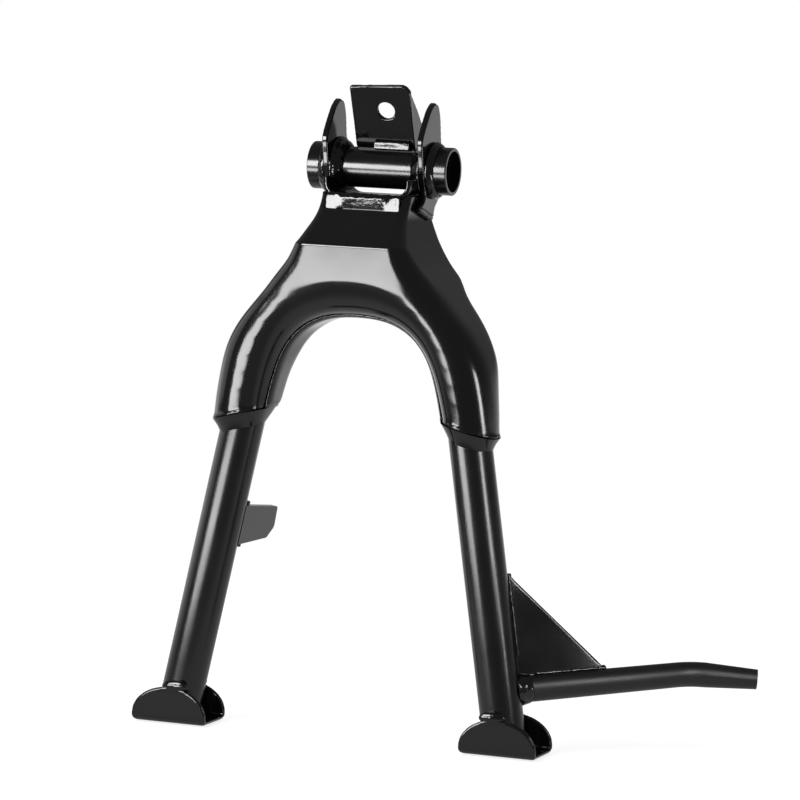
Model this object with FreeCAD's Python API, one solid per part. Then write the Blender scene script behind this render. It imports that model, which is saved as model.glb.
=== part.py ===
import FreeCAD
import Part
import math
import os

Vector = FreeCAD.Vector
os.makedirs("parts", exist_ok=True)

# Centre stand of a motorcycle, welded from tube, plate and two steel pressings.
# Millimetres. The origin is the middle of the pivot bore, X runs along the bore
# towards the kick lever, Y to the rear of the machine and Z up.

# Clearance between pieces that slide or are welded together, and under a bead
FIT = 0.15
BEAD_FIT = 0.05

# Leg tubes, standard one inch tube
TUBE_R = 12.7
TUBE_WALL = 2.5
LEG_UPPER = Vector(71.2, -30.9, -150.0)
LEG_LOWER = Vector(98.6, -38.9, -300.0)
LEG_TOP_Z = -134.0

# Pivot
PIVOT_TUBE_R = 12.0
PIVOT_BORE_R = 10.0
PIVOT_TUBE_HALF = 37.0
BOSS_R = 14.15
BOSS_INNER = 24.0
BOSS_OUTER = 43.9
BOSS_BEAD = 2.7
COLLAR_BEAD = 3.7

# Ear plates, their outline in shares of the height of the tip above the pivot
EAR_INNER = 28.25
EAR_PLATE = 3.5
EAR_TIP_Z = 40.0
EAR_FRONT = [
    (-0.04, 1.0), (-0.155, 0.945), (-0.265, 0.845), (-0.445, 0.608), (-0.53, 0.45),
    (-0.495, 0.213), (-0.45, 0.013), (-0.345, -0.25), (-0.323, -0.375), (-0.413, -0.47),
    (-0.5, -0.513),
]
EAR_REAR = [
    (0.063, -0.683), (0.105, -0.55), (0.21, -0.46), (0.35, -0.31), (0.45, -0.088),
    (0.44, 0.125), (0.345, 0.3), (0.273, 0.425), (0.24, 0.575), (0.208, 0.745),
    (0.11, 0.955),
]
EAR_BEAD = 1.95

# Pressed arch
SHEET = 2.5
NECK_TOP_Z = -14.0
NECK_TOP_Y = -29.0
CREASE_Z = -43.5
CREASE_Y = -57.0
FACE_LEAN = 0.0837
FACE_TOP_Z = -23.3
FACE_TOP_HALF = 23.2
BACK_TOP_Z = -25.5
NECK_BACK_Y = 10.0
LIMB_BACK_Y = -16.0
ARCH_LOW_Z = -160.0
ARCH_LOW_HALF = 91.2
LIMB_CORNER = 16.5
LIMB_END_Z = -147.6
LIMB_END_SLANT = 0.236

# Seam between the pressings: the step inside the opening and the line on the back
LAP_Y = -36.0
LAP = 1.0
BACK_FLANGE = 12.0
SEAM_BEAD = 3.8

# Growth of the arch from the neck at 0 to the limbs at 1, by share of its drop
HALF_WIDTH = [
    (0.06, 0.0), (0.156, 0.0), (0.21, 0.037), (0.272, 0.107), (0.338, 0.208),
    (0.4, 0.34), (0.475, 0.503), (0.563, 0.691), (0.613, 0.777), (0.663, 0.839),
    (0.713, 0.88), (0.813, 0.934), (1.0, 1.0),
]
BACK = [
    (0.338, 0.0), (0.4, 0.01), (0.431, 0.108), (0.463, 0.246), (0.5, 0.338),
    (0.55, 0.423), (0.613, 0.577), (0.7, 0.708), (0.806, 0.877), (0.9, 0.962), (1.0, 1.0),
]
CORNER_X = [
    (0.088, 0.24), (0.206, 0.42), (0.272, 0.545), (0.338, 0.758), (0.4, 0.91),
    (0.544, 1.0), (0.65, 1.18), (0.78, 1.18), (1.0, 1.04),
]
CORNER_Y = [(0.088, 0.24), (0.206, 0.485), (0.272, 0.606), (0.4, 0.818), (1.0, 0.94)]
BACK_CORNER = [(0.463, 0.21), (0.613, 0.364), (0.694, 0.485), (0.9, 0.91), (1.0, 0.91)]

# Sloping face of the neck, its setback by share of the height above the crease
NECK_FACE = [(0.0, 0.0), (0.356, 0.4), (0.525, 0.593), (0.685, 0.771), (0.83, 0.907), (1.0, 1.0)]

# Opening under the arch: half width by share of its depth below the crown
MOUTH_TOP_Z = -87.0
MOUTH_HALF = 60.5
MOUTH = [
    (0.0, 0.0), (0.182, 0.006), (0.347, 0.031), (0.512, 0.087), (0.636, 0.166),
    (0.736, 0.276), (0.803, 0.402), (0.878, 0.621), (1.0, 1.0),
]
MOUTH_ROUND_Y = 15.0
MOUTH_ROUND_CROWN = 25.5
MOUTH_ROUND_LIMB = 14.5

# Saddle, a channel between the ears that carries the cross tube
SADDLE_PLATE = 3.0
SADDLE_GAP = 3.3
SADDLE_BEND = 8.0
SADDLE_FRONT = -30.0
SADDLE_BACK = 12.0
SADDLE_TOP_Z = -5.0

# Feet
FLOOR_Z = -334.6
FOOT_HALF = 23.8
FOOT_DEPTH = 32.1
FOOT_HEIGHT = 22.0
FOOT_SIDE = 5.0
FOOT_SHEET = 2.5
FOOT_BEND = 4.5
FOOT_CORNER = 3.0

# Stop bracket on the cross tube
BRACKET_LEAN = 22.0
BRACKET_PLATE = 3.0
BRACKET_HALF = 18.6
BRACKET_TALL = 38.6
BRACKET_WING = 17.0
BRACKET_HOLE_R = 5.45
BRACKET_HOLE_X = 2.6
BRACKET_HOLE_UP = 22.6

# Kick lever, from the axis of the right leg to its tip
LEVER_START = Vector(98.4, -38.9, -298.6)
LEVER_BEND = Vector(190.7, 37.2, -290.3)
LEVER_TIP = Vector(228.0, 50.7, -292.2)
LEVER_ROOT_R = 8.0
LEVER_BEND_R = 7.4
LEVER_TIP_R = 5.9
LEVER_BEND_RUN = 9.0

# Gusset between the leg and the lever
GUSSET_PLATE = 3.0
GUSSET_UP = 66.4
GUSSET_OUT = 64.0
GUSSET_BEAD = 2.3

# Spring lug on the left leg, its back edge measured from the axis of the leg
LUG_PLATE = 4.0
LUG_Z = -213.4
LUG_BACK = 56.0
LUG_TALL = 24.6
LUG_BEAD = 3.2

# Longer than the stand, for cutting blocks
FAR = 400.0


def smooth(table, share):
    """Value of a table at a share, without overshoot between its rows."""
    if share <= table[0][0]:
        return table[0][1]
    if share >= table[-1][0]:
        return table[-1][1]
    steps = []
    for low, high in zip(table, table[1:]):
        steps.append((high[1] - low[1]) / (high[0] - low[0]))
    slopes = [steps[0]]
    for before, after in zip(steps, steps[1:]):
        flat = before * after <= 0
        slopes.append(0.0 if flat else 2 * before * after / (before + after))
    slopes.append(steps[-1])
    row = 0
    while table[row + 1][0] < share:
        row += 1
    span = table[row + 1][0] - table[row][0]
    t = (share - table[row][0]) / span
    start = (1 + 2 * t) * table[row][1] + t * span * slopes[row]
    end = (3 - 2 * t) * table[row + 1][1] + (t - 1) * span * slopes[row + 1]
    return start * (1 - t) ** 2 + end * t ** 2


def polygon(points, radii=None):
    """Closed wire through points, each corner rounded by its own radius."""
    count = len(points)
    radii = radii or [0.0] * count
    ends = []
    edges = []
    for i in range(count):
        corner = points[i]
        if radii[i] <= 0:
            ends.append((corner, corner))
            continue
        back = (points[i - 1] - corner).normalize()
        ahead = (points[(i + 1) % count] - corner).normalize()
        half = back.getAngle(ahead) / 2
        run = radii[i] / math.tan(half)
        inward = (back + ahead).normalize()
        middle = corner + inward * (radii[i] / math.sin(half) - radii[i])
        ends.append((corner + back * run, corner + ahead * run))
        edges.append(Part.Arc(ends[i][0], middle, ends[i][1]).toShape())
    for i in range(count):
        here = ends[i][1]
        there = ends[(i + 1) % count][0]
        if here.distanceToPoint(there) > 1e-6:
            edges.append(Part.makeLine(here, there))
    return Part.Wire(Part.sortEdges(edges)[0])


def plate(points, direction, radii=None):
    return Part.Face(polygon(points, radii)).extrude(direction)


def curve(points):
    line = Part.BSplineCurve()
    line.interpolate(points)
    return line


def mirrored(shape):
    return shape.mirror(Vector(0, 0, 0), Vector(1, 0, 0))


def bar(start, end, radius):
    return Part.makeCylinder(radius, start.distanceToPoint(end), start, end - start)


def cut_all(shape, tools):
    for tool in tools:
        shape = shape.cut(tool)
    return shape


def largest(shape):
    return max(shape.Solids, key=lambda solid: solid.Volume)


def leg_point(z):
    share = (z - LEG_UPPER.z) / (LEG_LOWER.z - LEG_UPPER.z)
    return LEG_UPPER + (LEG_LOWER - LEG_UPPER) * share


def leg_bar(radius):
    """Solid bar along the right leg, longer than the tube at both ends."""
    return bar(leg_point(LEG_TOP_Z / 1.5), leg_point(FLOOR_Z * 1.05), radius)


# Pressed arch

def arch_half(z):
    neck = EAR_INNER - FIT - BEAD_FIT
    return neck + (ARCH_LOW_HALF - neck) * smooth(HALF_WIDTH, z / ARCH_LOW_Z)


def arch_back(z):
    return NECK_BACK_Y + (LIMB_BACK_Y - NECK_BACK_Y) * smooth(BACK, z / ARCH_LOW_Z)


def neck_front(z):
    share = (z - CREASE_Z) / (NECK_TOP_Z - CREASE_Z)
    return CREASE_Y + (NECK_TOP_Y - CREASE_Y) * smooth(NECK_FACE, share)


def limb_front(z):
    return CREASE_Y + FACE_LEAN * (CREASE_Z - z)


def grade(line, z):
    """Slope of a line of the arch at height z."""
    return line(z + 0.5) - line(z - 0.5)


def inner_crease(inset):
    """Height of the crease on a face set back by the inset."""
    lean = neck_front(CREASE_Z + 1) - CREASE_Y
    gap = math.hypot(1, lean) - math.hypot(1, FACE_LEAN)
    return CREASE_Z - inset * gap / (lean + FACE_LEAN)


def section(z, inset):
    """Horizontal section of the arch block, or of its hollow when inset."""
    above = z > inner_crease(inset) + 0.001
    face = neck_front if above else limb_front
    half = arch_half(z) - inset * math.hypot(1, grade(arch_half, z))
    back = arch_back(z) - inset * math.hypot(1, grade(arch_back, z))
    front = face(z) + inset * math.hypot(1, grade(face, max(z, CREASE_Z + 0.5) if above else z))
    share = z / ARCH_LOW_Z
    least = SHEET / 3
    front_x = max(LIMB_CORNER * smooth(CORNER_X, share) - inset, least)
    front_y = max(LIMB_CORNER * smooth(CORNER_Y, share) - inset, least)
    back_r = max(LIMB_CORNER * smooth(BACK_CORNER, share) - inset, least)
    corners = [(-1, front, -1, front_x, front_y), (1, front, -1, front_x, front_y),
               (1, back, 1, back_r, back_r), (-1, back, 1, back_r, back_r)]
    rounds = []
    for sx, y, sy, run_x, run_y in corners:
        x = sx * half
        poles = []
        for share_x, share_y in ((0, 1), (0, 0.4477), (0.4477, 0), (1, 0)):
            poles.append(Vector(x - sx * run_x * share_x, y - sy * run_y * share_y, z))
        if sx * sy < 0:
            poles.reverse()
        rounds.append(poles)
    edges = []
    for i in range(4):
        corner = Part.BezierCurve()
        corner.setPoles(rounds[i])
        edges.append(corner.toShape())
        edges.append(Part.makeLine(rounds[i][3], rounds[(i + 1) % 4][0]))
    return Part.Wire(edges)


def arch_block(inset):
    """Block of the arch without its opening, as an upper and a lower loft."""
    over = FIT if inset else 0.0
    crease = inner_crease(inset) if inset else CREASE_Z
    top = NECK_TOP_Z + over
    low = ARCH_LOW_Z - over
    upper = [top + (crease - top) * share for share in (0, 0.16, 0.34, 0.5, 0.68, 0.84, 1)]
    shares = (0, 0.05, 0.1, 0.15, 0.2, 0.245, 0.29, 0.34, 0.4, 0.47, 0.55, 0.64, 0.75, 0.87, 1)
    lower = [crease + (low - crease) * share for share in shares]
    blocks = []
    for heights in (upper, lower):
        wires = [section(z, inset) for z in heights]
        blocks.append(Part.makeLoft(wires, True, False))
    return blocks[0].fuse(blocks[1])


def mouth_points(offset, widen=0.0):
    """Outline of the opening moved outward by an offset and by a share of the round."""
    right = [(x * MOUTH_HALF, MOUTH_TOP_Z * (1 + drop)) for x, drop in MOUTH]
    left = [(-x, z) for x, z in reversed(right[1:])]
    points = [Vector(x, 0, z) for x, z in left + right]
    line = curve(points)
    moved = []
    for point in points:
        along = line.tangent(line.parameter(point))[0]
        drop = point.z / MOUTH_TOP_Z - 1
        fade = math.exp(-6 * drop)
        reach = MOUTH_ROUND_LIMB + (MOUTH_ROUND_CROWN - MOUTH_ROUND_LIMB) * fade
        moved.append(point + Vector(-along.z, 0, along.x) * (offset + widen * reach))
    return moved


def mouth_wire(points):
    return Part.Wire([curve(points).toShape(), Part.makeLine(points[-1], points[0])])


def mouth_prism(offset):
    """Straight block with the outline of the opening, through the arch."""
    points = [Vector(p.x, -FAR, p.z) for p in mouth_points(offset)]
    return Part.Face(mouth_wire(points)).extrude(Vector(0, 2 * FAR, 0))


def mouth_cutter(offset, inset):
    """Opening with the rounded front edge of the pressing."""
    reach_x = 1 - inset / MOUTH_ROUND_CROWN
    reach_y = MOUTH_ROUND_Y - inset
    behind = inset * math.hypot(1, FACE_LEAN) - BEAD_FIT * 7
    layers = []
    for angle in (0, 18, 36, 54, 68, 80, 90):
        turn = math.radians(angle)
        depth = reach_y * (1 - math.sin(turn)) + behind
        points = []
        for point in mouth_points(offset, reach_x * (1 - math.cos(turn))):
            points.append(Vector(point.x, limb_front(point.z) + depth, point.z))
        layers.append(mouth_wire(points))
    lip = Part.makeLoft(layers, True, False)
    through = Part.Face(layers[0]).extrude(Vector(0, FAR, 0))
    return lip.fuse(through)


def seam_prism(inset, near):
    """Block inside the seam of the back cover, behind the depth given."""
    right = []
    for share in (0.03, 0.19, 0.25, 0.31, 0.38, 0.44, 0.5, 0.56, 0.63, 0.7, 0.79, 0.89, 1.0):
        z = ARCH_LOW_Z * share
        right.append(Vector(arch_half(z) - BACK_FLANGE - inset, near, z))
    right.append(right[-1] + (right[-1] - right[-2]) * 0.5)
    left = [Vector(-p.x, p.y, p.z) for p in right]
    edges = [curve(right).toShape(), curve(left).toShape(),
             Part.makeLine(right[0], left[0]), Part.makeLine(right[-1], left[-1])]
    block = Part.Face(Part.Wire(Part.sortEdges(edges)[0])).extrude(Vector(0, FAR, 0))
    middle = (CREASE_Z + MOUTH_TOP_Z) / 2
    return block.cut(Part.makeBox(FAR, FAR, FAR, Vector(-FAR / 2, -FAR, middle)))


def limb_end(clearance):
    """Block below the slanted end of the right limb."""
    centre = leg_point(LIMB_END_Z) + Vector(0, -FAR / 2, clearance)
    run = TUBE_R * 2.6
    inner = centre + Vector(-run, 0, run * LIMB_END_SLANT)
    outer = centre + Vector(run, 0, -run * LIMB_END_SLANT)
    drop = Vector(0, 0, -4 * TUBE_R)
    return plate([inner, outer, outer + drop, inner + drop], Vector(0, FAR, 0))


def arch_trim():
    """Everything cut away round the neck and at the lower ends of the limbs."""
    half = FACE_TOP_HALF
    wide = Vector(-FAR / 2, NECK_BACK_Y - 4 * SHEET, BACK_TOP_Z)
    tools = [
        Part.makeBox(2 * half, FAR, FAR, Vector(-half, NECK_TOP_Y + 1.6 * SHEET - FAR, FACE_TOP_Z)),
        Part.makeBox(FAR, FAR, FAR, wide),
        saddle_block(FIT),
    ]
    for tool in (limb_end(0.0), ear_blank(FIT), leg_bar(TUBE_R + FIT), inner_boss_weld(FIT)):
        tools += [tool, mirrored(tool)]
    return tools


def arch_front():
    lap = SHEET + FIT
    outer = arch_block(0.0).cut(mouth_cutter(lap, 0.0))
    inner = arch_block(SHEET).cut(mouth_cutter(lap + SHEET, SHEET))
    shell = outer.cut(inner).cut(seam_prism(0.0, LAP_Y + LAP))
    return largest(cut_all(shell, arch_trim()))


def arch_rear():
    cover = arch_block(0.0).common(seam_prism(FIT, LAP_Y - LAP)).cut(mouth_prism(0.0))
    hollow = arch_block(SHEET).cut(mouth_prism(SHEET))
    return largest(cut_all(cover.cut(hollow), arch_trim()))


def seam_bead():
    """Bead over the right half of the seam on the back of the arch."""
    half = SEAM_BEAD / 2
    band = seam_prism(-half, -2 * TUBE_R).cut(seam_prism(half, -2 * TUBE_R))
    raised = arch_block(0.0)
    raised.translate(Vector(0, SEAM_BEAD / 4, 0))
    bead = raised.common(band).cut(arch_block(0.0))
    bead = cut_all(bead, arch_trim())
    keep = Part.makeBox(FAR, FAR, FAR, Vector(0, -FAR / 2, -FAR / 1.01))
    return largest(bead.common(keep))


# Ears and pivot

def ear_blank(grow):
    """Right ear plate without its hole, thicker and longer when grown."""
    x = EAR_INNER - grow
    front = [Vector(x, y * EAR_TIP_Z, z * EAR_TIP_Z) for y, z in EAR_FRONT]
    rear = [Vector(x, y * EAR_TIP_Z, z * EAR_TIP_Z) for y, z in EAR_REAR]
    front[-1] -= Vector(0, 0, grow)
    rear[0] -= Vector(0, 0, grow)
    edges = [curve(front).toShape(), Part.makeLine(front[-1], rear[0]),
             curve(rear).toShape(), Part.makeLine(rear[-1], front[0])]
    return Part.Face(Part.Wire(edges)).extrude(Vector(EAR_PLATE + 2 * grow, 0, 0))


def ear():
    return ear_blank(0.0).cut(bar(Vector(0, 0, 0), Vector(FAR, 0, 0), BOSS_R + FIT))


def pivot_bar(radius):
    return bar(Vector(-FAR, 0, 0), Vector(FAR, 0, 0), radius)


def cross_tube():
    start = Vector(-PIVOT_TUBE_HALF, 0, 0)
    return bar(start, -start, PIVOT_TUBE_R).cut(pivot_bar(PIVOT_BORE_R))


def pivot_boss():
    start = Vector(BOSS_INNER, 0, 0)
    end = Vector(BOSS_OUTER, 0, 0)
    sleeve = bar(start, end, BOSS_R)
    rims = [edge for edge in sleeve.Edges if abs(edge.CenterOfMass.x - BOSS_OUTER) < 0.01]
    sleeve = sleeve.makeFillet(BOSS_R / 24, rims[:1])
    return sleeve.cut(pivot_bar(PIVOT_TUBE_R + FIT))


def ring(profile):
    """Ring turned round the pivot axis from points of distance along X and radius."""
    points = [Vector(x, 0, r) for x, r in profile]
    return Part.Face(polygon(points)).revolve(Vector(0, 0, 0), Vector(1, 0, 0), 360)


def outer_boss_weld():
    face = EAR_INNER + EAR_PLATE + BEAD_FIT
    inside = BOSS_R + BEAD_FIT
    size = BOSS_BEAD
    return ring([(face, inside), (face, inside + size), (face + 0.6 * size, inside + 0.96 * size),
                 (face + 1.3 * size, inside + 0.6 * size), (face + 1.9 * size, inside)])


def inner_boss_weld(grow=0.0):
    """Bead from the inner face of the right ear over the boss to the cross tube."""
    face = EAR_INNER - BEAD_FIT
    end = BOSS_INNER - BEAD_FIT
    size = COLLAR_BEAD
    boss = BOSS_R + BEAD_FIT
    tube = PIVOT_TUBE_R + BEAD_FIT
    outline = [(face, boss + size + grow), (face - 0.4 * size, boss + 0.88 * size + grow),
               (face - 0.76 * size, boss + 0.5 * size + grow), (end, boss + 0.33 * size + grow),
               (end - 0.33 * size, boss + 0.06 * size + grow),
               (end - 0.7 * size - grow, tube + 0.15 * size + grow), (end - 0.86 * size - grow, tube)]
    if grow:
        far = face + 2 * grow
        return ring([(far, boss + size + grow)] + outline + [(end - 0.86 * size - grow, 1.0), (far, 1.0)])
    return ring(outline + [(end, tube), (end, boss), (face, boss)])


def ear_weld():
    """Bead along the lower edge of the right ear on the neck of the arch."""
    x = EAR_INNER + EAR_PLATE / 2
    front = Vector(x, EAR_FRONT[-1][0] * EAR_TIP_Z, EAR_FRONT[-1][1] * EAR_TIP_Z)
    rear = Vector(x, EAR_REAR[0][0] * EAR_TIP_Z, EAR_REAR[0][1] * EAR_TIP_Z)
    along = (rear - front).normalize()
    drop = Vector(0, 0, -EAR_BEAD / 3)
    start = front + along * EAR_BEAD + drop
    end = rear - along * EAR_BEAD + drop
    bead = bar(start, end, EAR_BEAD)
    bead = bead.fuse(Part.makeSphere(EAR_BEAD, start)).fuse(Part.makeSphere(EAR_BEAD, end))
    return largest(bead.cut(ear_blank(BEAD_FIT)).cut(arch_block(0.0)))


# Saddle under the cross tube

def saddle_profile(inset, bend, top):
    half = EAR_INNER - FIT - BEAD_FIT - inset
    low = -PIVOT_TUBE_R - SADDLE_GAP - SADDLE_PLATE + inset
    points = [Vector(-half, -FAR, top), Vector(-half, -FAR, low), Vector(half, -FAR, low),
              Vector(half, -FAR, top)]
    return plate(points, Vector(0, 2 * FAR, 0), [0, bend, bend, 0])


def saddle_block(grow):
    """Everything above the underside of the saddle."""
    return saddle_profile(-grow, SADDLE_BEND + SADDLE_PLATE + grow, FAR)


def pivot_saddle():
    channel = saddle_profile(0.0, SADDLE_BEND + SADDLE_PLATE, SADDLE_TOP_Z)
    channel = channel.cut(saddle_profile(SADDLE_PLATE, SADDLE_BEND, FAR))
    side = EAR_INNER
    flat = side - SADDLE_BEND - SADDLE_PLATE
    set_back = SADDLE_FRONT + SADDLE_PLATE
    plan = [Vector(-side, SADDLE_BACK, -FAR), Vector(side, SADDLE_BACK, -FAR),
            Vector(side, set_back, -FAR), Vector(flat, SADDLE_FRONT, -FAR),
            Vector(-flat, SADDLE_FRONT, -FAR), Vector(-side, set_back, -FAR)]
    channel = channel.common(plate(plan, Vector(0, 0, 2 * FAR)))
    collar = inner_boss_weld(FIT)
    channel = cut_all(channel, [pivot_bar(PIVOT_TUBE_R + FIT), collar, mirrored(collar)])
    return largest(channel)


def saddle_weld():
    """Bead that closes the step between the saddle and the front of the neck."""
    half = FACE_TOP_HALF - FIT
    low = FACE_TOP_Z + BEAD_FIT
    top = -PIVOT_TUBE_R - SADDLE_GAP - SADDLE_PLATE
    front = neck_front(FACE_TOP_Z)
    lip = SADDLE_FRONT - BEAD_FIT
    drop = low - top
    outline = [Vector(-half, lip, top + 0.8 * SADDLE_PLATE),
               Vector(-half, lip - 0.5 * (lip - front), top + 0.1 * SADDLE_PLATE),
               Vector(-half, front + 0.4, top + 0.5 * drop), Vector(-half, front, low),
               Vector(-half, front + 1.4 * SHEET, low),
               Vector(-half, lip + SHEET, top - BEAD_FIT), Vector(-half, lip, top - BEAD_FIT)]
    bead = plate(outline, Vector(2 * half, 0, 0), [0, SHEET, SHEET, 0, 0, 0, 0])
    return bead


# Stop bracket

def stop_bracket():
    half = BRACKET_HALF
    thick = BRACKET_PLATE
    tall = BRACKET_TALL
    wing = BRACKET_WING
    sink = -1.4 * thick
    outline = [Vector(-half + 0.1 * thick, 0, sink), Vector(half - 0.1 * thick, 0, sink),
               Vector(half + 0.13 * thick, 0, tall * 1.015), Vector(-half - 0.13 * thick, 0, tall * 0.97)]
    sheet = plate(outline, Vector(0, thick, 0), [0, 0, 1.8 * thick, 0.3 * thick])
    side = [Vector(0, 0, sink), Vector(0, 0, 0.86 * tall), Vector(0, thick, 0.86 * tall),
            Vector(0, 0.65 * wing, 0.47 * tall), Vector(0, wing, 0.1 * tall), Vector(0, wing, sink)]
    for x in (-half, half - thick):
        flange = [point + Vector(x, 0, 0) for point in side]
        sheet = sheet.fuse(plate(flange, Vector(thick, 0, 0)))
    start = Vector(BRACKET_HOLE_X, -wing, BRACKET_HOLE_UP)
    sheet = sheet.cut(bar(start, start + Vector(0, 2 * wing, 0), BRACKET_HOLE_R)).removeSplitter()
    sheet.rotate(Vector(0, 0, 0), Vector(1, 0, 0), BRACKET_LEAN)
    sheet.translate(Vector(0, thick / 2, PIVOT_TUBE_R + thick / 3))
    return largest(sheet.cut(pivot_bar(PIVOT_TUBE_R + FIT)))


def bracket_weld(bracket):
    """Bead between the front of the bracket and the top of the cross tube."""
    half = BRACKET_HALF - BRACKET_PLATE / 5
    start = -half / 3
    top = PIVOT_TUBE_R
    outline = [Vector(start, -0.44 * top, 0.85 * top), Vector(start, -0.37 * top, 1.04 * top),
               Vector(start, -0.16 * top, 1.22 * top), Vector(start, 0.02 * top, 1.35 * top),
               Vector(start, 0.2 * top, 1.33 * top), Vector(start, 0.25 * top, 0.85 * top)]
    bead = plate(outline, Vector(0.9 * half - start, 0, 0), [0, 0.12 * top, 0.17 * top, 0, 0, 0])
    return largest(bead.cut(pivot_bar(PIVOT_TUBE_R + BEAD_FIT)).cut(bracket))


# Legs and feet

def leg_tube():
    tube = leg_bar(TUBE_R).cut(leg_bar(TUBE_R - TUBE_WALL))
    floor = FLOOR_Z + FOOT_SHEET + 6 * FIT
    return largest(tube.common(Part.makeBox(FAR, FAR, LEG_TOP_Z - floor, Vector(0, -FAR / 2, floor))))


def foot_centre():
    middle = leg_point(FLOOR_Z + FOOT_HEIGHT / 2)
    return Vector(leg_point(FLOOR_Z + FOOT_SIDE).x, middle.y - FIT, FLOOR_Z)


def foot():
    """Strip folded to a U under the leg, both walls rounded to a D."""
    centre = foot_centre()
    side = centre.x - FOOT_HALF * 1.05
    profiles = []
    for inset in (0.0, FOOT_SHEET):
        near = centre.y - FOOT_DEPTH / 2 + inset
        far = centre.y + FOOT_DEPTH / 2 - inset
        low = FLOOR_Z + inset
        top = FLOOR_Z + 2 * FOOT_HEIGHT
        outline = [Vector(side, near, top), Vector(side, near, low), Vector(side, far, low),
                   Vector(side, far, top)]
        bend = FOOT_BEND - inset
        profiles.append(plate(outline, Vector(FOOT_HALF * 2.1, 0, 0), [0, bend, bend, 0]))
    strip = profiles[0].cut(profiles[1])
    left = centre + Vector(-FOOT_HALF, -FOOT_DEPTH, FOOT_SIDE)
    right = left + Vector(2 * FOOT_HALF, 0, 0)
    middle = (left + right) / 2
    crown = middle + Vector(0, 0, FOOT_HEIGHT - FOOT_SIDE)
    down = Vector(0, 0, -FOOT_SIDE)
    base = plate([left, right, right + down, left + down], Vector(0, 2 * FOOT_DEPTH, 0),
                 [0, 0, FOOT_CORNER, FOOT_CORNER])
    oval = Part.Arc(Part.Ellipse(right, crown, middle), 0, math.pi).toShape()
    if oval.CenterOfMass.z < middle.z:
        oval = Part.Arc(Part.Ellipse(right, crown, middle), math.pi, 2 * math.pi).toShape()
    dome = Part.Wire([oval, Part.makeLine(left, right)])
    outline = Part.Face(dome).extrude(Vector(0, 2 * FOOT_DEPTH, 0)).fuse(base).removeSplitter()
    return largest(strip.common(outline))


def collar_wire(centre, across, wide, deep, square):
    """Closed curve round the leg, squarer at the corner inside and to the rear."""
    points = []
    for step in range(24):
        turn = math.radians(15 * step)
        along, aside = math.cos(turn), math.sin(turn)
        power = 2 / (square if along < 0 and aside > 0 else 2 + 0.15 * (square - 2))
        x = math.copysign(wide * abs(along) ** power, along)
        y = math.copysign(deep * abs(aside) ** power, aside)
        points.append(centre + across * x + Vector(0, y, 0))
    line = Part.BSplineCurve()
    line.interpolate(Points=points, PeriodicFlag=True)
    return Part.Wire(line.toShape())


def leg_weld():
    """Tapered collar that closes the lower end of the right limb on its tube."""
    down = (LEG_LOWER - LEG_UPPER).normalize()
    across = Vector(1, 0, -LIMB_END_SLANT).normalize()
    axis = leg_point(LIMB_END_Z - BEAD_FIT)
    outer = arch_half(axis.z - LIMB_END_SLANT * LIMB_CORNER)
    inner = 2 * axis.x - outer + LIMB_CORNER / 6
    front = limb_front(axis.z)
    back = arch_back(axis.z)
    top = Vector((outer + inner) / 2, (front + back) / 2, axis.z)
    top.z -= LIMB_END_SLANT * (top.x - axis.x)
    wide = (outer - inner) / 2
    deep = (back - front) / 2
    end = TUBE_R * 1.06
    wires = []
    for share, square in ((0, 4.5), (0.18, 4.2), (0.55, 3.2), (1, 2)):
        fade = (1 - share) ** 1.3
        centre = axis + (top - axis) * fade + down * (share * 0.75 * TUBE_R)
        size_x = end + (wide - end) * fade
        size_y = end + (deep - end) * fade
        wires.append(collar_wire(centre, across, size_x, size_y, square))
    return largest(Part.makeLoft(wires, True, False).cut(leg_bar(TUBE_R + BEAD_FIT)))


def foot_weld(side, shoe):
    """Short bead between the right leg and the top of one foot wall."""
    centre = foot_centre()
    top = FLOOR_Z + FOOT_HEIGHT
    wall = centre.y + side * (FOOT_DEPTH / 2 - 0.64 * FOOT_SHEET)
    bead = Part.makeSphere(1.0)
    size = FreeCAD.Matrix()
    size.scale(Vector(0.66 * TUBE_R, 0.2 * TUBE_R, 0.3 * TUBE_R))
    bead = bead.transformGeometry(size)
    bead.translate(Vector(leg_point(top).x - FOOT_SHEET / 5, wall, top + FOOT_SHEET / 5))
    return largest(bead.cut(leg_bar(TUBE_R + BEAD_FIT)).cut(shoe))


# Kick lever and gusset

def lever(grow=0.0):
    """Round bar with one bend, tapering most beyond it."""
    first = (LEVER_BEND - LEVER_START).normalize()
    second = (LEVER_TIP - LEVER_BEND).normalize()
    enter = LEVER_BEND - first * LEVER_BEND_RUN
    leave = LEVER_BEND + second * LEVER_BEND_RUN
    stations = [(LEVER_START, first, LEVER_ROOT_R), (enter, first, LEVER_BEND_R)]
    for step in range(1, 8):
        t = step / 8
        point = enter * (1 - t) ** 2 + LEVER_BEND * (2 * t * (1 - t)) + leave * t ** 2
        heading = (first * (1 - t) + second * t).normalize()
        stations.append((point, heading, LEVER_BEND_R))
    stations += [(leave, second, LEVER_BEND_R), (LEVER_TIP, second, LEVER_TIP_R)]
    wires = []
    for point, heading, radius in stations:
        wires.append(Part.Wire(Part.makeCircle(radius + grow, point, heading)))
    return Part.makeLoft(wires, True, True)


def kick_lever():
    bare = lever().cut(leg_bar(TUBE_R + FIT))
    return max(bare.Solids, key=lambda solid: solid.CenterOfMass.x)


def gusset_frame():
    """Corner of the gusset, direction up the leg, along the lever, and its normal."""
    up = (LEG_UPPER - LEG_LOWER).normalize()
    out = (LEVER_BEND - LEVER_START).normalize()
    return LEVER_START, up, out, up.cross(out).normalize()


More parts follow.
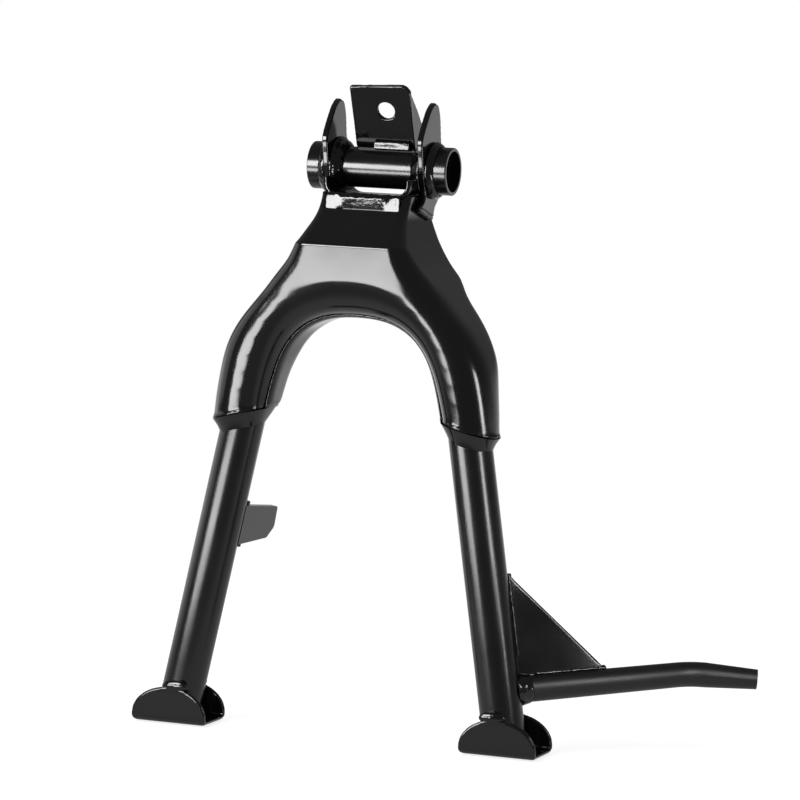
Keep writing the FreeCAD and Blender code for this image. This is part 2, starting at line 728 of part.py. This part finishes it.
def lever_gusset():
    corner, up, out, across = gusset_frame()
    root = 0.7 * TUBE_R
    foot_up = LEVER_ROOT_R / 4
    end = GUSSET_OUT + GUSSET_PLATE / 2
    outline = [(root, foot_up), (end, foot_up), (end, 1.1 * LEVER_ROOT_R),
               (GUSSET_OUT - GUSSET_PLATE / 2, 1.6 * LEVER_ROOT_R), (TUBE_R * 1.16, GUSSET_UP),
               (root, GUSSET_UP)]
    base = corner - across * (GUSSET_PLATE / 2)
    points = [base + out * along + up * high for along, high in outline]
    soft = GUSSET_PLATE * 0.8
    sheet = plate(points, across * GUSSET_PLATE, [0, 0, soft, soft, soft / 3, 0])
    return largest(sheet.cut(leg_bar(TUBE_R + FIT)).cut(lever(FIT)))


def lever_weld(sheet):
    """Ring bead where the lever meets the right leg."""
    out = (LEVER_BEND - LEVER_START).normalize()
    start = LEVER_START + out * (0.7 * TUBE_R)
    bead = Part.makeCone(1.32 * LEVER_ROOT_R, 1.04 * LEVER_ROOT_R, 0.8 * TUBE_R, start, out)
    return largest(cut_all(bead, [leg_bar(TUBE_R + BEAD_FIT), lever(BEAD_FIT), sheet]))


def gusset_leg_weld(sheet, root):
    corner, up, out, across = gusset_frame()
    surface = corner + out * (1.05 * TUBE_R)
    bead = bar(surface + up * (1.5 * TUBE_R), surface + up * (GUSSET_UP + GUSSET_PLATE / 2), GUSSET_BEAD)
    return largest(cut_all(bead, [leg_bar(TUBE_R + BEAD_FIT), sheet, root]))


def gusset_lever_weld(sheet, root):
    corner, up, out, across = gusset_frame()
    away = out.cross(across)
    away = away if away.dot(up) > 0 else -away
    start = corner + out * (1.8 * TUBE_R) + away * LEVER_ROOT_R
    end = corner + out * (GUSSET_OUT + GUSSET_PLATE) + away * (LEVER_ROOT_R + LEVER_BEND_R) / 2
    bead = bar(start, end, GUSSET_BEAD)
    return largest(cut_all(bead, [lever(BEAD_FIT), sheet, root]))


# Spring lug on the inner side of the left leg

def lug_frame():
    """Point on the axis of the left leg, direction down it, and out of the lug's face."""
    down = (LEG_LOWER - LEG_UPPER).normalize()
    down = Vector(-down.x, down.y, down.z)
    middle = leg_point(LUG_Z)
    normal = down.cross(Vector(0, 1, 0)).normalize()
    return Vector(-middle.x, middle.y, middle.z), down, normal if normal.x > 0 else -normal


def spring_lug():
    middle, down, normal = lug_frame()
    half = LUG_TALL / 2
    outline = [(TUBE_R / 4, -half), (LUG_BACK - 1.5, -0.53 * half), (LUG_BACK, 0.52 * half),
               (LUG_BACK - 9, half), (TUBE_R / 4, 0.95 * half)]
    base = middle + normal * (TUBE_R - LUG_PLATE)
    points = [base + Vector(0, back, 0) + down * low for back, low in outline]
    soft = LUG_PLATE * 0.8
    sheet = plate(points, normal * LUG_PLATE, [0, soft / 2, soft, soft, 0])
    return largest(sheet.cut(mirrored(leg_bar(TUBE_R + FIT))))


def lug_weld(sheet):
    middle, down, normal = lug_frame()
    across = TUBE_R - LUG_PLATE
    reach = math.sqrt(TUBE_R ** 2 - across ** 2)
    start = middle + normal * across + Vector(0, reach, 0) - down * (LUG_TALL / 2 + LUG_BEAD / 2)
    bead = bar(start, start + down * (LUG_TALL + LUG_BEAD), LUG_BEAD)
    return largest(bead.cut(mirrored(leg_bar(TUBE_R + BEAD_FIT))).cut(sheet))


def build():
    shoe = foot()
    bracket = stop_bracket()
    gusset = lever_gusset()
    root = lever_weld(gusset)
    lug = spring_lug()
    shapes = {
        "arch_front_shell": arch_front(),
        "arch_rear_shell": arch_rear(),
        "cross_tube": cross_tube(),
        "pivot_saddle": pivot_saddle(),
        "saddle_weld": saddle_weld(),
        "stop_bracket": bracket,
        "bracket_weld": bracket_weld(bracket),
        "kick_lever": kick_lever(),
        "lever_gusset": gusset,
        "lever_weld": root,
        "gusset_leg_weld": gusset_leg_weld(gusset, root),
        "gusset_lever_weld": gusset_lever_weld(gusset, root),
        "spring_lug": lug,
        "lug_weld": lug_weld(lug),
    }
    pairs = {
        "arch_seam_weld": seam_bead(),
        "ear": ear(),
        "ear_weld": ear_weld(),
        "pivot_boss": pivot_boss(),
        "boss_outer_weld": outer_boss_weld(),
        "boss_inner_weld": inner_boss_weld(),
        "leg_tube": leg_tube(),
        "leg_weld": leg_weld(),
        "foot": shoe,
        "foot_front_weld": foot_weld(-1, shoe),
        "foot_rear_weld": foot_weld(1, shoe),
    }
    for name, shape in pairs.items():
        shapes[name + "_right"] = shape
        shapes[name + "_left"] = mirrored(shape)
    return shapes


for node, shape in build().items():
    shape.exportStep("parts/" + node + ".step")
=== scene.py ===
import bmesh
import bpy
import math
import numpy as np
from mathutils import Matrix, Vector, noise
from mathutils.bvhtree import BVHTree


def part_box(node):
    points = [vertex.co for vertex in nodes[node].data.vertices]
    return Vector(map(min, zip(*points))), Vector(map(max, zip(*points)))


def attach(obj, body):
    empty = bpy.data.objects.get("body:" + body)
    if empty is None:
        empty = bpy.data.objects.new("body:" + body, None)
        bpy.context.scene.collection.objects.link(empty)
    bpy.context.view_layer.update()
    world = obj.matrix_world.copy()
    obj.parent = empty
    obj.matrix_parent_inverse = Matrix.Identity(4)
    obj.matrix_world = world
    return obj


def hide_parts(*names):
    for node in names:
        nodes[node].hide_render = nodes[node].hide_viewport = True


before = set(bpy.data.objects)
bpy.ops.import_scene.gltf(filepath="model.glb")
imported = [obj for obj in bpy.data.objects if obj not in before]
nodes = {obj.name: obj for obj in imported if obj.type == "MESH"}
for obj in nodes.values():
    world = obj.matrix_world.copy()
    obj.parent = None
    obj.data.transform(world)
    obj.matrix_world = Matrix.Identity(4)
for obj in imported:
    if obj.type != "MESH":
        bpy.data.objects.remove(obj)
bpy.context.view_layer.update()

# Camera fitted to the photograph: place in metres, lens and sensor in millimetres
CAMERA_PLACE = Vector((0.93097, -2.40767, 0.12115))
CAMERA_AHEAD = Vector((-0.35366, 0.93005, -0.09967))
CAMERA_ROLL = math.radians(2.07)
CAMERA_LENS = 196.22
CAMERA_SENSOR = 36.0
CAMERA_REACH = 50.0

# Colours are in linear light
WHITE = (1.0, 1.0, 1.0, 1.0)
ENAMEL = (0.0030, 0.0030, 0.0031, 1.0)
ENAMEL_GREY = (0.0050, 0.0050, 0.0051, 1.0)
ENAMEL_SPECULAR = 0.5

# Clouds in the enamel, which make its gloss uneven and stand for faint dust
CLOUD_SCALE = 28.0
CLOUD_DETAIL = 3.0
CLOUD_RANGE = (0.35, 0.7)

# Enamels: scale and depth of the orange peel, and the range of roughness
PEEL_DETAIL = 2.0
ENAMELS = {
    "plate_enamel": (520.0, 0.00001, 0.09, 0.15),
    "shell_enamel": (520.0, 0.00001, 0.13, 0.19),
    "tube_enamel": (520.0, 0.00002, 0.16, 0.21),
    "leg_enamel": (520.0, 0.00002, 0.21, 0.27),
    "bar_enamel": (520.0, 0.00002, 0.38, 0.45),
    "weld_enamel": (900.0, 0.00005, 0.09, 0.15),
}

# Pieces with another enamel than the plates'; lumpy welds have weld_enamel
NODE_ENAMELS = {
    "arch_front_shell": "shell_enamel", "arch_rear_shell": "shell_enamel",
    "cross_tube": "tube_enamel", "pivot_boss_left": "tube_enamel",
    "pivot_boss_right": "tube_enamel", "leg_tube_left": "leg_enamel",
    "leg_tube_right": "leg_enamel", "kick_lever": "bar_enamel",
}

# Round floor just under the feet: how it scatters light, how bright the camera sees it,
# and how bright it is when mirrored, which fades out towards the front
FLOOR_GAP = 0.0004
FLOOR_MIDDLE = (0.04, 0.0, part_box("foot_left")[0][2] - FLOOR_GAP)
FLOOR_RADIUS = 0.62
FLOOR_SIDES = 128
FLOOR_PAPER = (0.4, 0.4, 0.4, 1.0)
FLOOR_PLAIN = (0.8, 0.8, 0.8, 1.0)
FLOOR_GLOW = 0.8
FLOOR_MIRRORED = 0.34
FLOOR_FRONT = (-0.30, -0.14)

# Studio: how far round and how high the white backdrop reaches, by direction
BACKDROP_EDGE = (-0.15, 0.45)
BACKDROP_TOP = (-0.08, 0.12)
STUDIO_DIM = (0.16, 0.16, 0.162, 1.0)
WORLD_LIGHT = 0.5

# Lamps: name, centre, aim, width, height, power, and what they light: gloss, matt or both
LAMPS = [
    ("front_upper", (-0.285, -0.50, 0.075), (-0.02, 0.0, 0.0), 0.33, 0.23, 5.0, "gloss"),
    ("front_lower", (-0.285, -0.50, -0.2125), (-0.02, 0.0, -0.13), 0.33, 0.135, 2.1, "gloss"),
    ("right_high", (0.37, -0.165, -0.12), (0.09, -0.04, -0.13), 0.07, 0.12, 0.42, "gloss"),
    ("right_low", (0.38, -0.12, -0.21), (0.10, -0.04, -0.21), 0.02, 0.08, 0.09, "gloss"),
    ("left_wall", (-1.25, 0.05, 0.02), (0.0, 0.0, -0.1), 1.0, 0.6, 1.6, "both"),
    ("soft_key", (-0.9, -1.3, 1.4), (0.0, 0.0, -0.15), 1.2, 1.2, 16.0, "matt"),
]

# Lumpy weld beads: grid of the mesh, turns and strength of smoothing before the lumps,
# strength of smoothing after them, and size of a lump
BEAD_VOXEL = 0.0005
BEAD_TURNS = 3
BEAD_SMOOTHING = 0.5
BEAD_LAST_SMOOTHING = 0.4
BEAD_LUMP = 0.0034

# Height of the lumps, and the shares of cells, ripples and a plain lift in it
BEAD_SWELL = 0.0004
BEAD_OWN_SWELL = {
    "bracket_weld": 0.0002, "saddle_weld": 0.0007, "gusset_leg_weld": 0.0003,
    "gusset_lever_weld": 0.0003, "ear_weld_left": 0.0003, "ear_weld_right": 0.0003,
    "foot_front_weld_left": 0.0002, "foot_front_weld_right": 0.0002,
    "arch_seam_weld_left": 0.0001, "arch_seam_weld_right": 0.0001,
}
CELL_SHARE = 0.9
RIPPLE_SHARE = 0.35
RIPPLE_SCALE = 2.3
LIFT_SHARE = 0.25

# Beads laid as a flat pass: stretch in height, share of the depth that is left, and
# lean of the face at its ends and in its middle
BEAD_FLAT = {
    "saddle_weld": (1.7, 0.62, 0.15, -0.05),
    "bracket_weld": (1.5, 0.6, 0.13, 0.13),
}

# The flat face: where its middle turns into its ends, as a share of half its length, the
# share of the lumps that is left on it, and the depth and scale of its streaks
FLAT_ENDS = (0.5, 0.75)
FLAT_LUMPS = 0.08
STREAK_DEPTH = 0.00003
STREAK_SCALE = (150.0, 900.0)

# Welds that are smooth in the photograph and keep the CAD mesh
SMOOTH_WELDS = ("leg_weld_left", "leg_weld_right", "lug_weld")

# Rounded edges of the pieces that keep the CAD mesh
EDGE_ROUND = 0.0005
EDGE_SEGMENTS = 2
EDGE_ANGLE = math.radians(38)

# Pressed and cut plates with soft edges: grid of the mesh, turns of smoothing all
# over, and turns where the plate lies free
SOFT_PLATES = {
    "arch_front_shell": (0.0009, 3, 140),
    "arch_rear_shell": (0.0009, 3, 60),
    "ear_left": (0.0006, 8, 0),
    "ear_right": (0.0006, 8, 0),
    "pivot_saddle": (0.0006, 8, 0),
    "stop_bracket": (0.0006, 5, 0),
    "lever_gusset": (0.0006, 5, 0),
    "foot_left": (0.0006, 5, 0),
    "foot_right": (0.0006, 5, 0),
}
PLATE_SMOOTHING = 0.5

# A plate goes from held to free over these distances from the other pieces, and the
# crown is held from between these heights up
FREE_REACH = (0.0004, 0.0025)
CROWN_HELD = (-0.075, -0.055)

# Gap in the outer wall of the front shell above the end of each leg tube, closed here
WALL_GAP = Vector((0.0710, -0.0270, -0.0912))
WALL_GAP_REACH = 0.0112


def add_object(name, data):
    added = bpy.data.objects.new(name, data)
    bpy.context.scene.collection.objects.link(added)
    return added


def make_camera():
    ahead = CAMERA_AHEAD.normalized()
    side = ahead.cross(Vector((0, 0, 1))).normalized()
    top = side.cross(ahead).normalized()
    turned_side = side * math.cos(CAMERA_ROLL) + top * math.sin(CAMERA_ROLL)
    turned_top = top * math.cos(CAMERA_ROLL) - side * math.sin(CAMERA_ROLL)
    data = bpy.data.cameras.new("camera")
    data.lens = CAMERA_LENS
    data.sensor_width = CAMERA_SENSOR
    data.clip_end = CAMERA_REACH
    camera = add_object("camera", data)
    turn = Matrix((turned_side, turned_top, -ahead)).transposed().to_4x4()
    camera.matrix_world = Matrix.Translation(CAMERA_PLACE) @ turn
    bpy.context.scene.camera = camera


def make_lamp(name, place, aim, width, height, power, lights):
    data = bpy.data.lights.new(name, "AREA")
    data.shape = "RECTANGLE"
    data.size = width
    data.size_y = height
    data.energy = power
    lamp = add_object(name, data)
    ahead = (Vector(aim) - Vector(place)).normalized()
    lamp.location = place
    lamp.rotation_euler = ahead.to_track_quat("-Z", "Y").to_euler()
    lamp.visible_camera = False
    lamp.visible_diffuse = lights != "gloss"
    lamp.visible_glossy = lights != "matt"


def empty_tree(owner):
    owner.use_nodes = True
    owner.node_tree.nodes.clear()
    return owner.node_tree


def add_node(tree, kind, inputs, **settings):
    """Adds a shader node. Each input gets a value, or a link from another node's output."""
    node = tree.nodes.new("ShaderNode" + kind)
    for name, value in settings.items():
        setattr(node, name, value)
    for key, value in inputs.items():
        if isinstance(value, bpy.types.NodeSocket):
            tree.links.new(value, node.inputs[key])
        else:
            node.inputs[key].default_value = value
    return node


def ramp(tree, value, reach, start, end, shape="SMOOTHSTEP"):
    """Output that goes from start to end as the value crosses the reach."""
    inputs = {"Value": value, "From Min": reach[0], "From Max": reach[1],
              "To Min": start, "To Max": end}
    return add_node(tree, "MapRange", inputs, interpolation_type=shape).outputs["Result"]


def calculate(tree, operation, first, second):
    return add_node(tree, "Math", {0: first, 1: second}, operation=operation).outputs[0]


def mix_values(tree, kind, share, first, second):
    inputs = {"Factor": share, "A": first, "B": second}
    return add_node(tree, "Mix", inputs, data_type=kind).outputs["Result"]


def mix_shaders(tree, share, first, second):
    return add_node(tree, "MixShader", {"Fac": share, 1: first, 2: second}).outputs["Shader"]


def seen_rays(tree):
    """Fraction that is 1 for camera, glossy and transmission rays."""
    path = add_node(tree, "LightPath", {})
    seen = path.outputs["Is Camera Ray"]
    for kind in ("Is Glossy Ray", "Is Transmission Ray"):
        seen = calculate(tree, "MAXIMUM", seen, path.outputs[kind])
    return seen


def enamel(name, peel_scale, peel_depth, roughness_low, roughness_high):
    """Glossy black stoved enamel with orange peel, faint dust and uneven gloss."""
    material = bpy.data.materials.new(name)
    tree = empty_tree(material)
    place = add_node(tree, "TexCoord", {}).outputs["Object"]
    cloud = add_node(tree, "TexNoise", {"Vector": place, "Scale": CLOUD_SCALE,
                                        "Detail": CLOUD_DETAIL}).outputs["Fac"]
    peel = add_node(tree, "TexNoise", {"Vector": place, "Scale": peel_scale,
                                       "Detail": PEEL_DETAIL}).outputs["Fac"]
    bump = add_node(tree, "Bump", {"Height": peel, "Strength": 1.0, "Distance": peel_depth})
    shader = add_node(tree, "BsdfPrincipled", {
        "Base Color": mix_values(tree, "RGBA", cloud, ENAMEL, ENAMEL_GREY),
        "Roughness": ramp(tree, cloud, CLOUD_RANGE, roughness_low, roughness_high, "LINEAR"),
        "Specular IOR Level": ENAMEL_SPECULAR,
        "Normal": bump.outputs["Normal"],
    })
    add_node(tree, "OutputMaterial", {"Surface": shader.outputs["BSDF"]})
    return material


def make_world():
    """White backdrop behind the stand, and a dimmer studio in front of it and above."""
    world = bpy.data.worlds.new("studio")
    bpy.context.scene.world = world
    tree = empty_tree(world)
    place = add_node(tree, "TexCoord", {}).outputs["Generated"]
    parts = add_node(tree, "SeparateXYZ", {"Vector": place})
    behind = ramp(tree, parts.outputs["Y"], BACKDROP_EDGE, 0.0, 1.0)
    below = ramp(tree, parts.outputs["Z"], BACKDROP_TOP, 1.0, 0.0)
    backdrop = calculate(tree, "MULTIPLY", behind, below)
    path = add_node(tree, "LightPath", {})
    white = calculate(tree, "MAXIMUM", backdrop, path.outputs["Is Camera Ray"])
    shown = mix_values(tree, "RGBA", white, STUDIO_DIM, WHITE)
    seen = add_node(tree, "Background", {"Color": shown})
    light = add_node(tree, "Background", {"Color": WHITE, "Strength": WORLD_LIGHT})
    surface = mix_shaders(tree, seen_rays(tree), light.outputs["Background"],
                          seen.outputs["Background"])
    add_node(tree, "OutputWorld", {"Surface": surface})


def make_floor():
    """Round white floor that keeps the shadow and fades into the backdrop."""
    bpy.ops.mesh.primitive_circle_add(vertices=FLOOR_SIDES, radius=FLOOR_RADIUS,
                                      fill_type="NGON", location=FLOOR_MIDDLE)
    floor = bpy.context.object
    floor.name = "floor"
    material = bpy.data.materials.new("floor")
    tree = empty_tree(material)
    place = add_node(tree, "NewGeometry", {}).outputs["Position"]
    parts = add_node(tree, "SeparateXYZ", {"Vector": place})
    mirrored = ramp(tree, parts.outputs["Y"], FLOOR_FRONT, 0.0, FLOOR_MIRRORED)
    path = add_node(tree, "LightPath", {})
    glow = mix_values(tree, "FLOAT", path.outputs["Is Camera Ray"], mirrored, FLOOR_GLOW)
    white = add_node(tree, "Emission", {"Color": WHITE, "Strength": glow})
    paper = add_node(tree, "BsdfDiffuse", {"Color": FLOOR_PAPER})
    seen = add_node(tree, "AddShader", {0: paper.outputs["BSDF"], 1: white.outputs["Emission"]})
    plain = add_node(tree, "BsdfDiffuse", {"Color": FLOOR_PLAIN})
    surface = mix_shaders(tree, seen_rays(tree), plain.outputs["BSDF"], seen.outputs["Shader"])
    add_node(tree, "OutputMaterial", {"Surface": surface})
    floor.data.materials.append(material)


def close_wall_gaps(mesh):
    """Fills the small gap in each outer wall with a plug between its own rims."""
    work = bmesh.new()
    work.from_mesh(mesh)
    for side in (1.0, -1.0):
        middle = Vector((side * WALL_GAP.x, WALL_GAP.y, WALL_GAP.z))
        rim = [vert for vert in work.verts if (vert.co - middle).length < WALL_GAP_REACH]
        plug = [work.verts.new(vert.co) for vert in rim]
        hull = bmesh.ops.convex_hull(work, input=plug)
        spare = set(hull["geom_interior"]) | set(hull["geom_unused"])
        spare = [part for part in spare if isinstance(part, bmesh.types.BMVert)]
        bmesh.ops.delete(work, geom=spare, context="VERTS")
    work.to_mesh(mesh)
    work.free()


def whole_mesh(name):
    """Copy of a node's mesh, with the gaps of the front shell closed."""
    mesh = nodes[name].data.copy()
    if name == "arch_front_shell":
        close_wall_gaps(mesh)
    return mesh


def surface_tree(meshes):
    """Search tree over the faces of all the meshes."""
    verts, faces = [], []
    for mesh in meshes:
        first = len(verts)
        verts.extend(vert.co.copy() for vert in mesh.vertices)
        faces.extend([first + k for k in face.vertices] for face in mesh.polygons)
    return BVHTree.FromPolygons(verts, faces)


def even_copy(name, prefix, voxel):
    """Copy of a node's mesh with an even grid of faces, which replaces the node."""
    piece = add_object(prefix + name, whole_mesh(name))
    remesh = piece.modifiers.new("even", "REMESH")
    remesh.mode = "VOXEL"
    remesh.voxel_size = voxel
    view = bpy.context.evaluated_depsgraph_get()
    piece.data = bpy.data.meshes.new_from_object(piece.evaluated_get(view))
    piece.modifiers.clear()
    piece.data.materials.clear()
    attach(piece, "root")
    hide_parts(name)
    return piece


def shade_smooth(mesh):
    mesh.polygons.foreach_set("use_smooth", [True] * len(mesh.polygons))


def smooth_step(value, low, high):
    share = np.clip((value - low) / (high - low), 0.0, 1.0)
    return share * share * (3.0 - 2.0 * share)


def soft_plate(name, voxel, even_turns, free_turns):
    """Plate with soft edges, and a pressed shell with the creases of deep drawn sheet.

    It is smoothed where it lies free, and follows the CAD surface at the crown's
    creases and where other pieces meet it.
    """
    piece = even_copy(name, "soft_", voxel)
    mesh = piece.data
    count = len(mesh.vertices)
    spots = np.empty(count * 3)
    mesh.vertices.foreach_get("co", spots)
    spots = spots.reshape(-1, 3)
    ends = np.empty(len(mesh.edges) * 2, dtype=np.int64)
    mesh.edges.foreach_get("vertices", ends)
    first, second = ends.reshape(-1, 2).T
    degree = np.bincount(first, minlength=count) + np.bincount(second, minlength=count)
    others = surface_tree([node.data for other, node in nodes.items() if other != name])
    reach = np.array([others.find_nearest(vert.co)[3] for vert in mesh.vertices])
    free = smooth_step(reach, *FREE_REACH)
    free *= 1.0 - smooth_step(spots[:, 2], *CROWN_HELD)
    for turn in range(even_turns + free_turns):
        share = np.ones(count) if turn < even_turns else free
        middle = np.empty_like(spots)
        for axis in range(3):
            middle[:, axis] = np.bincount(first, spots[second, axis], count)
            middle[:, axis] += np.bincount(second, spots[first, axis], count)
        spots += PLATE_SMOOTHING * share[:, None] * (middle / degree[:, None] - spots)
    own = surface_tree([whole_mesh(name)])
    held = np.array([own.find_nearest(Vector(spot))[0] for spot in spots])
    spots = held + (spots - held) * free[:, None]
    mesh.vertices.foreach_set("co", spots.ravel())
    shade_smooth(mesh)
    mesh.update()
    return piece


def smooth_verts(work, strength):
    bmesh.ops.smooth_vert(work, verts=work.verts, factor=strength, use_axis_x=True,
                          use_axis_y=True, use_axis_z=True)


def flatten_front(verts, tall, depth, end_lean, middle_lean):
    """Makes a bead taller and gives it a nearly flat, streaky front that leans back."""
    half = max(abs(vert.co.x) for vert in verts)
    low = min(vert.co.z for vert in verts)
    high = max(vert.co.z for vert in verts)
    middle = (low + high) / 2
    front = min(vert.co.y for vert in verts)
    back = max(vert.co.y for vert in verts)
    face = back + (front - back) * depth
    for vert in verts:
        across, up = vert.co.x, (vert.co.z - middle) * tall
        end = smooth_step(abs(across) / half, *FLAT_ENDS)
        edge = face + up * (middle_lean + (end_lean - middle_lean) * end)
        spot = Vector((across * STREAK_SCALE[0], 0.0, vert.co.z * STREAK_SCALE[1]))
        if vert.co.y < edge:
            lumps = FLAT_LUMPS * (vert.co.y - edge)
            vert.co.y = edge + lumps + STREAK_DEPTH * noise.noise(spot)
        vert.co.z = middle + up


def lumpy_bead(name, swell):
    """Weld bead with lumps, as a fine mesh over the CAD bead that it replaces."""
    piece = even_copy(name, "bead_", BEAD_VOXEL)
    mesh = piece.data
    work = bmesh.new()
    work.from_mesh(mesh)
    for turn in range(BEAD_TURNS):
        smooth_verts(work, BEAD_SMOOTHING)
    work.normal_update()
    moves = []
    for vert in work.verts:
        spot = vert.co / BEAD_LUMP
        cell = 0.5 - min(noise.voronoi(spot)[0][0], 1.0)
        ripple = noise.noise(spot * RIPPLE_SCALE)
        rise = CELL_SHARE * cell + RIPPLE_SHARE * ripple + LIFT_SHARE
        moves.append(vert.normal * swell * rise)
    for vert, move in zip(work.verts, moves):
        vert.co += move
    smooth_verts(work, BEAD_LAST_SMOOTHING)
    if name in BEAD_FLAT:
        flatten_front(work.verts, *BEAD_FLAT[name])
    work.to_mesh(mesh)
    work.free()
    shade_smooth(mesh)
    return piece


def round_edges(node):
    edge = node.modifiers.new("edges", "BEVEL")
    edge.width = EDGE_ROUND
    edge.segments = EDGE_SEGMENTS
    edge.limit_method = "ANGLE"
    edge.angle_limit = EDGE_ANGLE
    edge.harden_normals = True


make_camera()
make_world()
make_floor()
for lamp in LAMPS:
    make_lamp(*lamp)

enamels = {name: enamel(name, *values) for name, values in ENAMELS.items()}
for name, node in nodes.items():
    finish = NODE_ENAMELS.get(name, "plate_enamel")
    if "weld" in name and name not in SMOOTH_WELDS:
        piece = lumpy_bead(name, BEAD_OWN_SWELL.get(name, BEAD_SWELL))
        finish = "weld_enamel"
    elif name in SOFT_PLATES:
        piece = soft_plate(name, *SOFT_PLATES[name])
    else:
        piece = node
        round_edges(node)
    piece.data.materials.clear()
    piece.data.materials.append(enamels[finish])

bpy.context.scene.view_settings.view_transform = "Standard"
